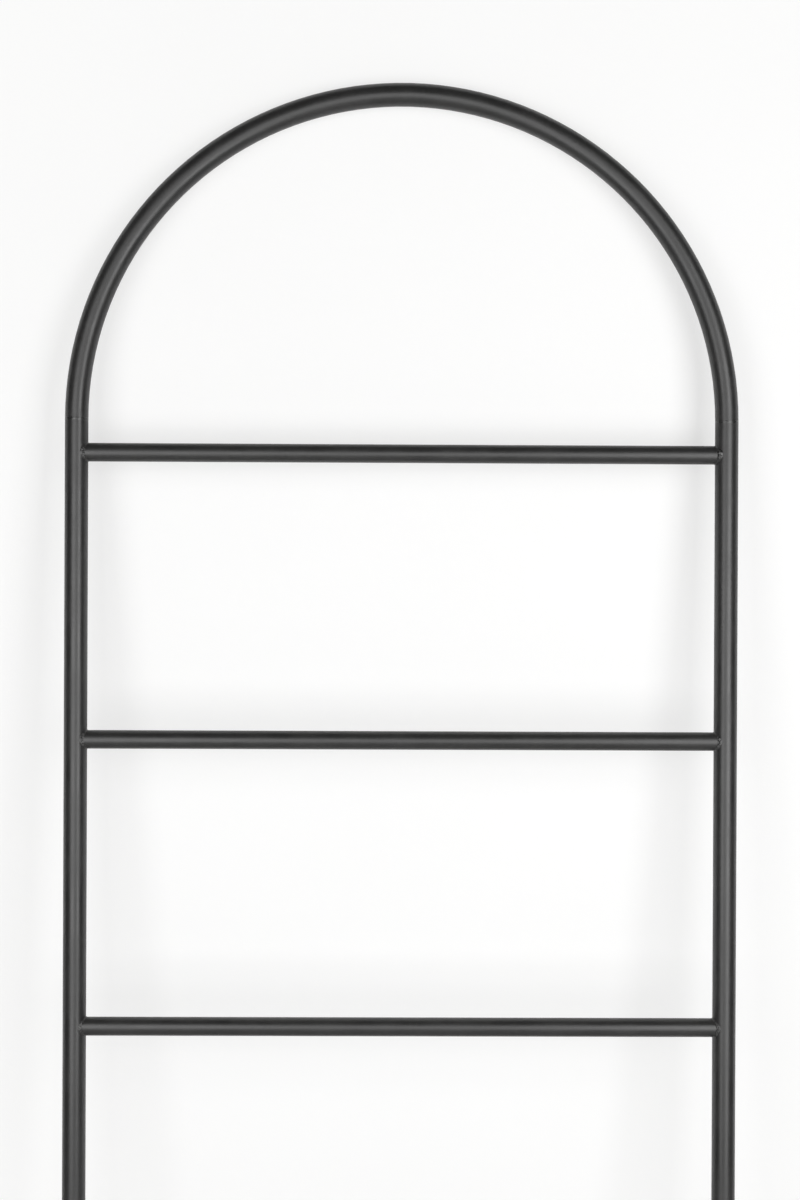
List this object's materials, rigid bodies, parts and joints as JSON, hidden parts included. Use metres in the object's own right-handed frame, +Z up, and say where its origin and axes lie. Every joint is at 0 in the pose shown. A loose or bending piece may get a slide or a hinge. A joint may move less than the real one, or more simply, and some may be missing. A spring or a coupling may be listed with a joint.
{
  "type": "blanket ladder",
  "caption": "Leaning blanket ladder of welded round steel tube: two uprights, straight rungs and a half-round arch for a top.",
  "frame": {"origin": "on the floor, midway between the two feet, in the plane of the tube axes", "axes": "+X across the ladder, to the right seen from the room; +Y towards the wall it leans on; +Z up along the uprights. In use the whole ladder turns about the feet's X line by about 6 degrees, until the two pads on the arch touch the wall."},
  "size_m": [0.5802, 0.0226, 1.7999],
  "materials": {
    "frame_coat": "matt black powder coat with a fine texture",
    "weld_coat": "matt black powder coat over a rippled weld",
    "sleeve_steel": "bare drawn tube",
    "foot_plastic": "moulded black polyethylene",
    "pad_rubber": "soft black rubber"
  },
  "bodies": {
    "root": {"arch_tube": "frame_coat", "stile_left": "frame_coat", "stile_right": "frame_coat", "seam_weld_left": "weld_coat", "seam_weld_right": "weld_coat", "joint_sleeve_left": "sleeve_steel", "joint_sleeve_right": "sleeve_steel", "foot_left": "foot_plastic", "foot_right": "foot_plastic", "wall_pad_left": "pad_rubber", "wall_pad_right": "pad_rubber", "rung_1": "frame_coat", "rung_weld_1_left": "weld_coat", "rung_weld_1_right": "weld_coat", "rung_2": "frame_coat", "rung_weld_2_left": "weld_coat", "rung_weld_2_right": "weld_coat", "rung_3": "frame_coat", "rung_weld_3_left": "weld_coat", "rung_weld_3_right": "weld_coat", "rung_4": "frame_coat", "rung_weld_4_left": "weld_coat", "rung_weld_4_right": "weld_coat", "rung_5": "frame_coat", "rung_weld_5_left": "weld_coat", "rung_weld_5_right": "weld_coat", "rung_6": "frame_coat", "rung_weld_6_left": "weld_coat", "rung_weld_6_right": "weld_coat"}
  },
  "joints": []
}
